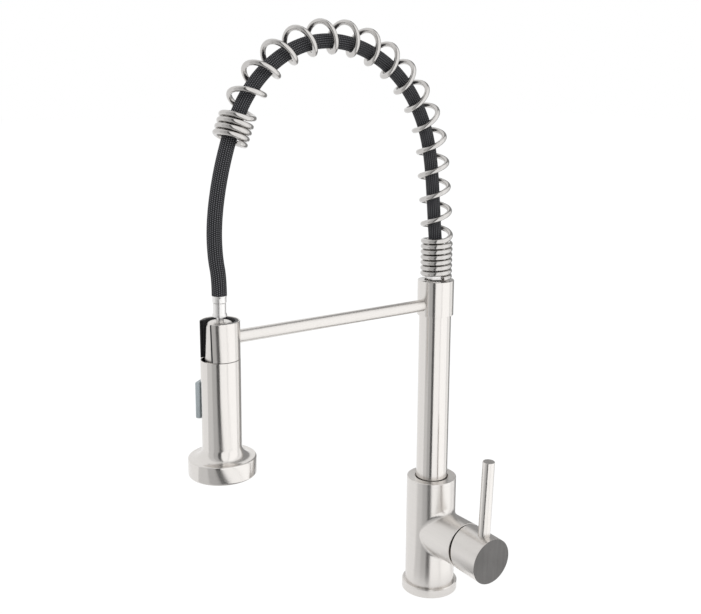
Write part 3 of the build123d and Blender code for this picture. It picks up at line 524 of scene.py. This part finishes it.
def merged(*parts):
    """Points and faces of several closed shells as one list of each."""
    points = []
    faces = []
    for some_points, some_faces in parts:
        faces += [tuple(index + len(points) for index in face) for face in some_faces]
        points += some_points
    return points, faces


def shaped(mesh, kind, **values):
    """Plain mesh of a mesh with one modifier applied."""
    carrier = bpy.data.objects.new("carrier", mesh)
    bpy.context.scene.collection.objects.link(carrier)
    modifier = carrier.modifiers.new(kind, kind)
    for name, value in values.items():
        setattr(modifier, name, value)
    result = mesh_of(carrier)
    bpy.data.objects.remove(carrier)
    return result


def cut(mesh, cutter_mesh):
    """Mesh with the space of another taken out of it."""
    cutter = bpy.data.objects.new("cutter", cutter_mesh)
    bpy.context.scene.collection.objects.link(cutter)
    result = shaped(mesh, "BOOLEAN", operation="DIFFERENCE", solver="EXACT", object=cutter)
    bpy.data.objects.remove(cutter)
    result.set_sharp_from_angle(angle=SHARP_ANGLE)
    return result


def tube(path, radius, sides):
    """Tube along a path in the Y-Z plane, with U round it and V in metres along it."""
    points = []
    lengths = [0.0]
    for i, here in enumerate(path):
        before = path[max(i - 1, 0)]
        after = path[min(i + 1, len(path) - 1)]
        along = (after - before).normalized()
        out = along.cross(Vector((1, 0, 0)))
        if i:
            lengths.append(lengths[-1] + (here - before).length)
        for k in range(sides):
            angle = 2 * pi * k / sides
            points.append(here + radius * (cos(angle) * Vector((1, 0, 0)) + sin(angle) * out))
    faces = []
    marks = []
    for i in range(len(path) - 1):
        for k in range(sides):
            after = (k + 1) % sides
            faces.append((i * sides + k, i * sides + after, (i + 1) * sides + after, (i + 1) * sides + k))
            marks += [(k / sides, lengths[i]), ((k + 1) / sides, lengths[i]),
                      ((k + 1) / sides, lengths[i + 1]), (k / sides, lengths[i + 1])]
    last = (len(path) - 1) * sides
    faces.append(tuple(reversed(range(sides))))
    faces.append(tuple(range(last, last + sides)))
    marks += [(0.0, 0.0)] * (2 * sides)
    mesh = bpy.data.meshes.new("tube")
    mesh.from_pydata(points, [], faces)
    layer = mesh.uv_layers.new(name="UVMap")
    for loop, mark in zip(layer.data, marks):
        loop.uv = mark
    return mesh


def line_object(name, points, kind, resolution=12):
    """Curve object with one open spline, a polyline or a smooth one that starts and ends on its points."""
    data = bpy.data.curves.new(name, "CURVE")
    data.dimensions = "3D"
    data.resolution_u = resolution
    spline = data.splines.new(kind)
    spline.points.add(len(points) - 1)
    for made, point in zip(spline.points, points):
        made.co = (*point, 1)
    if kind == "NURBS":
        spline.order_u = 3
        spline.use_endpoint_u = True
    made = bpy.data.objects.new(name, data)
    bpy.context.scene.collection.objects.link(made)
    return made


def mesh_of(obj):
    """Plain mesh of an object as it is shown."""
    graph = bpy.context.evaluated_depsgraph_get()
    graph.update()
    return bpy.data.meshes.new_from_object(obj.evaluated_get(graph), depsgraph=graph)


def spring_line():
    """Points of the spring's line: a straight foot, the arch's arcs and a straight end."""
    sizes = bpy.context.scene.faucet_sizes
    foot = sizes.foot_turns * sizes.closed_pitch
    points = [Vector((0, 0, SPRING_FOOT)), Vector((0, 0, SPRING_FOOT + foot))]
    lean = 0.0
    for radius, turn in SPRING_ARCS:
        steps = max(4, round(turn * 1.5))
        start = points[-1].copy()
        for i in range(1, steps + 1):
            angle = lean + radians(turn) * i / steps
            back, up = cos(angle) - cos(lean), sin(angle) - sin(lean)
            points.append(start + Vector((0, radius * back, radius * up)))
        lean += radians(turn)
    end = sizes.end_turns * sizes.closed_pitch
    points.append(points[-1] + end * Vector((0, -sin(lean), cos(lean))))
    return points


def wound_wire_tree():
    """Geometry Nodes tree that winds a wire round a line: close turns, open turns, close turns."""
    tree, nodes, source, result = new_group(
        "Wound Wire",
        [("Line", "NodeSocketGeometry", None), ("Winding Radius", "NodeSocketFloat", 0.012),
         ("Wire Radius", "NodeSocketFloat", 0.0022), ("Wire Sides", "NodeSocketInt", 16),
         ("Closed Pitch", "NodeSocketFloat", 0.0049), ("Foot Turns", "NodeSocketInt", 7),
         ("Open Turns", "NodeSocketInt", 16), ("End Turns", "NodeSocketInt", 4),
         ("Steps per Turn", "NodeSocketInt", 36), ("Phase", "NodeSocketFloat", 0.0),
         ("Material", "NodeSocketMaterial", None)],
        [("Wire", "NodeSocketGeometry")], "GeometryNodeTree")
    tree.is_modifier = True
    get = source.outputs
    math = nodes.math
    line = get["Line"]
    closed = math("ADD", get["Foot Turns"], get["End Turns"])
    total = math("ADD", closed, get["Open Turns"])
    length = nodes.add("GeometryNodeCurveLength", in_0=line).outputs[0]
    open_length = math("SUBTRACT", length, math("MULTIPLY", closed, get["Closed Pitch"]))
    open_pitch = math("DIVIDE", open_length, get["Open Turns"])
    count = math("ADD", math("MULTIPLY", total, get["Steps per Turn"]), 1.0)
    start = nodes.add("GeometryNodeCurvePrimitiveLine")
    points = nodes.add("GeometryNodeResampleCurve", in_Curve=start.outputs[0], in_Count=count)
    turn = math("MULTIPLY", nodes.add("GeometryNodeSplineParameter").outputs["Factor"], total)
    foot_part = math("MULTIPLY", math("MINIMUM", turn, get["Foot Turns"]), get["Closed Pitch"])
    past_foot = math("MAXIMUM", math("SUBTRACT", turn, get["Foot Turns"]), 0.0)
    open_part = math("MULTIPLY", math("MINIMUM", past_foot, get["Open Turns"]), open_pitch)
    past_open = math("MAXIMUM", math("SUBTRACT", past_foot, get["Open Turns"]), 0.0)
    end_part = math("MULTIPLY", past_open, get["Closed Pitch"])
    distance = math("ADD", math("ADD", foot_part, open_part), end_part)
    sample = nodes.add("GeometryNodeSampleCurve", mode="LENGTH", in_Curves=line, in_Length=distance)
    outward = nodes.add("ShaderNodeVectorMath", operation="CROSS_PRODUCT", in_0=sample.outputs["Tangent"],
                        in_1=(1, 0, 0)).outputs[0]
    angle = math("ADD", get["Phase"], math("MULTIPLY", turn, 2 * pi))
    across = nodes.add("ShaderNodeCombineXYZ",
                       in_0=math("MULTIPLY", math("COSINE", angle), get["Winding Radius"]))
    in_plane = nodes.add("ShaderNodeVectorMath", operation="SCALE", in_0=outward)
    tree.links.new(math("MULTIPLY", math("SINE", angle), get["Winding Radius"]), in_plane.inputs["Scale"])
    offset = nodes.add("ShaderNodeVectorMath", operation="ADD", in_0=across.outputs[0],
                       in_1=in_plane.outputs[0])
    place = nodes.add("ShaderNodeVectorMath", operation="ADD", in_0=sample.outputs["Position"],
                      in_1=offset.outputs[0])
    helix = nodes.add("GeometryNodeSetPosition", in_Geometry=points.outputs[0], in_Position=place.outputs[0])
    section = nodes.add("GeometryNodeCurvePrimitiveCircle", in_Resolution=get["Wire Sides"],
                        in_Radius=get["Wire Radius"])
    swept = nodes.add("GeometryNodeCurveToMesh", in_Curve=helix.outputs[0],
                      in_Profile_Curve=section.outputs[0], in_Fill_Caps=True)
    real = nodes.add("GeometryNodeRealizeInstances", in_0=swept.outputs[0])
    painted = nodes.add("GeometryNodeSetMaterial", in_Geometry=real.outputs[0], in_Material=get["Material"])
    tree.links.new(painted.outputs[0], result.inputs[0])
    return tree


def wound(name, line, values, material):
    """Mesh of a wire wound round a line's curve object, which is removed."""
    tree = group_named("Wound Wire", wound_wire_tree)
    modifier = line.modifiers.new("Wound Wire", "NODES")
    modifier.node_group = tree
    for item in tree.interface.items_tree:
        if item.in_out == "INPUT" and item.name in values:
            modifier[item.identifier] = values[item.name]
        if item.in_out == "INPUT" and item.name == "Material":
            modifier[item.identifier] = material
    mesh = mesh_of(line)
    line.modifiers.remove(modifier)
    bpy.data.objects.remove(line)
    return mesh


# Operators

class FAUCET_OT_stage(bpy.types.Operator):
    """Sets up the camera, the pale floor, the white surroundings and the studio's lights and cards"""

    bl_idname = "faucet.stage"
    bl_label = "Stage"

    def execute(self, context):
        scene = context.scene
        scene.view_settings.view_transform = "Standard"
        self.camera(scene)
        self.world(scene)
        self.floor()
        for softbox in SOFTBOXES:
            self.softbox(scene, *softbox)
        for card in CARDS:
            self.card(*card)
        return {"FINISHED"}

    def camera(self, scene):
        right = Vector((0.59257, 0.80547, 0.00861))
        up = Vector((-0.15628, 0.10448, 0.98217))
        back = Vector((0.79022, -0.58334, 0.18779))
        place = Vector((0.6654, -0.56919, 0.48064))
        data = bpy.data.cameras.new("camera")
        data.lens = 50.71
        data.sensor_width = 36
        data.sensor_fit = "HORIZONTAL"
        data.shift_x = -0.0229
        data.shift_y = -0.063
        camera = bpy.data.objects.new("camera", data)
        scene.collection.objects.link(camera)
        turn = Matrix((right, up, back)).transposed().to_4x4()
        camera.matrix_world = Matrix.Translation(place) @ turn
        scene.camera = camera

    def world(self, scene):
        """Surroundings that look white and light the object a little less than white."""
        world = bpy.data.worlds.new("studio")
        scene.world = world
        world.use_nodes = True
        nodes = Nodes(world.node_tree)
        seen = self.seen(nodes)
        color = nodes.blend(seen, (0.72, 0.73, 0.75, 1), (1, 1, 1, 1))
        background = world.node_tree.nodes["Background"]
        world.node_tree.links.new(color, background.inputs["Color"])

    def seen(self, nodes):
        """1 for camera, glossy and transmission rays."""
        path = nodes.add("ShaderNodeLightPath").outputs
        either = nodes.math("MAXIMUM", path["Is Camera Ray"], path["Is Glossy Ray"])
        return nodes.math("MAXIMUM", either, path["Is Transmission Ray"])

    def floor(self):
        """Wide floor that looks white and keeps a faint shadow."""
        half = 9
        mesh = bpy.data.meshes.new("floor")
        mesh.from_pydata([(-half, -half, 0), (half, -half, 0), (half, half, 0), (-half, half, 0)], [],
                         [(0, 1, 2, 3)])
        floor = bpy.data.objects.new("floor", mesh)
        bpy.context.scene.collection.objects.link(floor)
        material = bpy.data.materials.new("pale_floor")
        material.use_nodes = True
        nodes = Nodes(material.node_tree)
        shader = material.node_tree.nodes["Principled BSDF"]
        shader.inputs["Base Color"].default_value = (0.86, 0.86, 0.86, 1)
        shader.inputs["Roughness"].default_value = 0.8
        glow = nodes.add("ShaderNodeEmission", in_Strength=1.045)
        glow_share = 0.9
        share = nodes.math("MULTIPLY", self.seen(nodes), glow_share)
        mixed = nodes.add("ShaderNodeMixShader", in_0=share, in_1=shader.outputs[0], in_2=glow.outputs[0])
        output = material.node_tree.nodes["Material Output"]
        material.node_tree.links.new(mixed.outputs[0], output.inputs["Surface"])
        mesh.materials.append(material)

    def softbox(self, scene, x, y, z, size, power):
        """Square light that faces the object's middle and isn't seen in it."""
        data = bpy.data.lights.new("softbox", "AREA")
        data.size = size
        data.energy = power
        lamp = bpy.data.objects.new("softbox", data)
        scene.collection.objects.link(lamp)
        place = Vector((x, y, z))
        middle = Vector((0, -0.1, 0.25))
        aim = place - middle
        lamp.matrix_world = Matrix.Translation(place) @ aim.to_track_quat("Z", "Y").to_matrix().to_4x4()
        lamp.visible_glossy = False
        lamp.visible_camera = False

    def card(self, start, end, strength):
        """Card that stands about the object and is seen only in reflections."""
        steps = 12
        points = []
        for i in range(steps + 1):
            angle = radians(start + (end - start) * i / steps)
            points += [(reach * cos(angle), reach * sin(angle), height) for reach, height in CARD_PROFILE]
        faces = [tuple(4 * i + k + corner for corner in (0, 1, 5, 4)) for i in range(steps) for k in range(3)]
        mesh = bpy.data.meshes.new("card")
        mesh.from_pydata(points, [], faces)
        material = bpy.data.materials.new("card")
        material.use_nodes = True
        nodes = Nodes(material.node_tree)
        glow = nodes.add("ShaderNodeEmission", in_Strength=strength)
        output = material.node_tree.nodes["Material Output"]
        material.node_tree.links.new(glow.outputs[0], output.inputs["Surface"])
        mesh.materials.append(material)
        card = bpy.data.objects.new("card", mesh)
        bpy.context.scene.collection.objects.link(card)
        card.visible_camera = False
        card.visible_diffuse = False
        card.visible_shadow = False
        card.visible_transmission = False


class FAUCET_OT_hose(bpy.types.Operator):
    """Makes the braided hose along its route over the arch"""

    bl_idname = "faucet.hose"
    bl_label = "Braided Hose"

    def execute(self, context):
        sizes = context.scene.faucet_sizes
        line = line_object("hose_line", [(0, y, z) for y, z in HOSE_ROUTE], "NURBS", resolution=24)
        path = [vertex.co.copy() for vertex in mesh_of(line).vertices]
        bpy.data.objects.remove(line)
        mesh = tube(path, sizes.hose_diameter / 2, 48)
        hose = piece("spray_hose_braided", mesh, braid(), "", ["spray_hose"])
        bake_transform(hose)
        return {"FINISHED"}


class FAUCET_OT_spring(bpy.types.Operator):
    """Winds the spring's wire round the arch"""

    bl_idname = "faucet.spring"
    bl_label = "Spring"

    def execute(self, context):
        sizes = context.scene.faucet_sizes
        values = {"Winding Radius": (sizes.spring_diameter - sizes.wire_diameter) / 2,
                  "Wire Radius": sizes.wire_diameter / 2, "Wire Sides": 18,
                  "Closed Pitch": sizes.closed_pitch, "Foot Turns": sizes.foot_turns,
                  "Open Turns": sizes.open_turns, "End Turns": sizes.end_turns,
                  "Steps per Turn": 40, "Phase": sizes.spring_phase}
        line = line_object("spring_line", spring_line(), "POLY")
        mesh = wound("spring_wire", line, values, polished_steel())
        spring = piece("spring_wire", mesh, polished_steel(), "", ["spring"])
        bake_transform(spring)
        return {"FINISHED"}


class FAUCET_OT_dock(bpy.types.Operator):
    """Makes the dock's metal shell and its black liner, both open at the slot"""

    bl_idname = "faucet.dock"
    bl_label = "Dock"

    def execute(self, context):
        sizes = context.scene.faucet_sizes
        foot = sizes.seam_height
        rise = (sizes.slot_half_top - sizes.slot_half_bottom) / (DOCK_TOP - foot)

        def half_width(height):
            return sizes.slot_half_bottom + rise * (height - foot)

        def slot(inset):
            def spread(height, radius):
                angle = asin((half_width(height) - inset) / radius)
                return angle, 2 * pi - angle
            return spread

        def lip(side):
            def spread(height, radius):
                half = half_width(height)
                return side * asin((half - LIP) / radius), side * asin((half - LINING_PLAY) / radius)
            return spread

        bevel = 0.0003
        inner, outer = TUBE_RADIUS - DOCK_WALL, TUBE_RADIUS
        levels = [(foot, inner, outer - bevel / 2), (foot + bevel / 2, inner, outer),
                  (DOCK_TOP - bevel, inner, outer), (DOCK_TOP, inner + bevel, outer - bevel)]
        shell = shell_mesh(*slotted(levels, slot(0.0)))
        piece("dock_wall", shell, nickel("Z", True), "riser", ["dock_shell"], smooth=False)

        low, high = foot + 0.0002, DOCK_TOP - 0.0002
        bore_foot, bore_top, bore_mouth = 0.01256, 0.01155, 0.0121
        sleeve = [(low, bore_foot, inner - LINING_PLAY), (high - 0.001, bore_top, inner - LINING_PLAY),
                  (high, bore_mouth, inner - 0.0004)]
        lips = [(low, inner - 0.0008, outer - 0.0001), (high - 0.0004, inner - 0.0008, outer - 0.0001),
                (high, inner - 0.0006, outer - 0.0005)]
        strips = [slotted(lips, lip(side), 4) for side in (1, -1)]
        liner = shell_mesh(*merged(slotted(sleeve, slot(LIP)), *strips))
        piece("dock_lining", liner, black_plastic(), "riser", ["dock_liner"], smooth=False)
        return {"FINISHED"}


class FAUCET_OT_spray_head(bpy.types.Operator):
    """Makes the spray head's shell with its wide disc and window, and the rocker button in it"""

    bl_idname = "faucet.spray_head"
    bl_label = "Spray Head"

    def execute(self, context):
        sizes = context.scene.faucet_sizes
        finishes = context.scene.faucet_finishes
        low, high = BUTTON_FOOT, BUTTON_FOOT + sizes.button_height
        shell = cut(self.shell(sizes), self.window(low - WINDOW_END_GAP, high + WINDOW_END_GAP))
        piece("spray_tube", shell, nickel("Z", True), "spray_head", ["spray_shell"],
              smooth=False)

        block = self.box(BUTTON_BACK, BUTTON_FRONT, BUTTON_HALF_WIDTH, low, high)
        web_half = 0.004
        web = self.box(0.0110, BUTTON_BACK + 0.001, 0.0035, ROCKER_PIN_HEIGHT - web_half,
                       ROCKER_PIN_HEIGHT + web_half)
        block = shell_mesh(*merged(block, web), BUTTON_DIRECTION)
        button = shaped(block, "BEVEL", width=CORNER_RADIUS, segments=4)
        button.shade_smooth()
        piece("rocker_cap", button, moulded("grey_button", finishes.button_color, 0.42), "rocker",
              ["rocker_button"], smooth=False)
        return {"FINISHED"}

    def shell(self, sizes):
        """Straight tube with its wide disc, open below."""
        top = sizes.seam_height - HEAD_GAP
        rim = sizes.disc_diameter / 2
        roof = DISC_FOOT + sizes.disc_height
        inner = TUBE_RADIUS - HEAD_WALL
        opening = rim - DISC_RIM_WALL
        ceiling = roof - DISC_ROOF_WALL
        return turned([(inner, top, 0), (TUBE_RADIUS, top, 0.0003), (TUBE_RADIUS, roof, FLARE_RADIUS),
                       (rim, roof, 0.0015), (rim, DISC_FOOT, 0.002), (opening, DISC_FOOT, 0.0004),
                       (opening, ceiling, 0.001), (inner, ceiling, FLARE_RADIUS + 0.0005)])

    def window(self, low, high):
        """Block through the button's side of the shell."""
        half = BUTTON_HALF_WIDTH + WINDOW_SIDE_GAP
        corners = ((-half, low), (half, low), (half, high), (-half, high))
        outline = rounded([(*corner, CORNER_RADIUS) for corner in corners])
        return prism(outline, 0.008, 0.024, BUTTON_DIRECTION)

    def box(self, back, front, half, low, high):
        """Points and faces of a box that lies along X."""
        points = [(x, y, z) for y in (-half, half)
                  for x, z in ((back, low), (front, low), (front, high), (back, high))]
        faces = [(0, 1, 2, 3), (4, 5, 6, 7), (0, 1, 5, 4), (1, 2, 6, 5), (2, 3, 7, 6), (3, 0, 4, 7)]
        return points, faces


class FAUCET_OT_frame_finishes(bpy.types.Operator):
    """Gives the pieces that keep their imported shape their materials"""

    bl_idname = "faucet.frame_finishes"
    bl_label = "Finishes of the Packed Pieces"

    def execute(self, context):
        finishes = context.scene.faucet_finishes
        rubber = moulded("black_rubber", (0.02, 0.02, 0.021, 1), 0.62)
        white = moulded("white_plastic", (0.72, 0.71, 0.69, 1), 0.4)
        ceramic = moulded("white_ceramic", (0.82, 0.81, 0.79, 1), 0.18, bump=0.02)
        brass = plain_metal("raw_brass", (0.78, 0.57, 0.28, 1), 0.36)
        steel = plain_metal("plain_steel", (0.60, 0.60, 0.60, 1), 0.34)
        plated = plain_metal("plated_brass", (0.78, 0.77, 0.76, 1), 0.3)
        chosen = {
            nickel("Z"): ["base_flange", "valve_body", "docking_cone"],
            nickel("Z", True): ["column_tube", "collar", "lever_rod"],
            hub_metal(): ["handle_hub"],
            nickel("Y"): ["arm_rod"],
            plated: ["hose_ferrule", "hose_nut", "hose_tail", "hose_adapter", "union_nut"],
            brass: ["mounting_shank", "mounting_nut", "bonnet_nut", "column_foot"],
            steel: ["clamp_plate", "clamp_screws", "column_screw", "collar_grub_screw", "rocker_pin",
                    "turret_pin", "cartridge_stem", "hub_set_screw"],
            rubber: ["base_gasket", "rubber_washer", "cartridge_seals", "column_orings", "adapter_oring",
                     "seat_ring", "head_oring", "nozzle_mat"],
            # The dome cap's black is painted shade: it stands in for the dark ring of shade in the gap that the
            # cap fills.
            black_plastic(): ["face_plate", "dome_cap"],
            white: ["cartridge_body", "slip_washer", "check_valve", "aerator", "waterway", "diverter_spool",
                    "cartridge_turret"],
            ceramic: ["fixed_disc", "moving_disc"],
        }
        for material, names in chosen.items():
            for name in names:
                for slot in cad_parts[name].material_slots:
                    slot.material = material
        return {"FINISHED"}


class FAUCET_PT_pieces(bpy.types.Panel):
    """Lists the faucet's pieces and their settings"""

    bl_idname = "FAUCET_PT_pieces"
    bl_label = "Spring Neck Faucet"
    bl_space_type = "VIEW_3D"
    bl_region_type = "UI"
    bl_category = "Faucet"

    def draw(self, context):
        for settings in (context.scene.faucet_sizes, context.scene.faucet_finishes):
            column = self.layout.column(align=True)
            for name in settings.__annotations__:
                column.prop(settings, name)
        for operator in OPERATORS:
            self.layout.operator(operator.bl_idname)


OPERATORS = [FAUCET_OT_stage, FAUCET_OT_hose, FAUCET_OT_spring, FAUCET_OT_dock, FAUCET_OT_spray_head,
             FAUCET_OT_frame_finishes]
CLASSES = [FaucetSizes, FaucetFinishes, *OPERATORS, FAUCET_PT_pieces]


def register():
    for item in CLASSES:
        bpy.utils.register_class(item)
    bpy.types.Scene.faucet_sizes = PointerProperty(type=FaucetSizes)
    bpy.types.Scene.faucet_finishes = PointerProperty(type=FaucetFinishes)


def unregister():
    del bpy.types.Scene.faucet_sizes
    del bpy.types.Scene.faucet_finishes
    for item in reversed(CLASSES):
        bpy.utils.unregister_class(item)


def main():
    register()
    bpy.ops.faucet.stage()
    bpy.ops.faucet.hose()
    bpy.ops.faucet.spring()
    bpy.ops.faucet.dock()
    bpy.ops.faucet.spray_head()
    bpy.ops.faucet.frame_finishes()


if __name__ == "__main__":
    main()
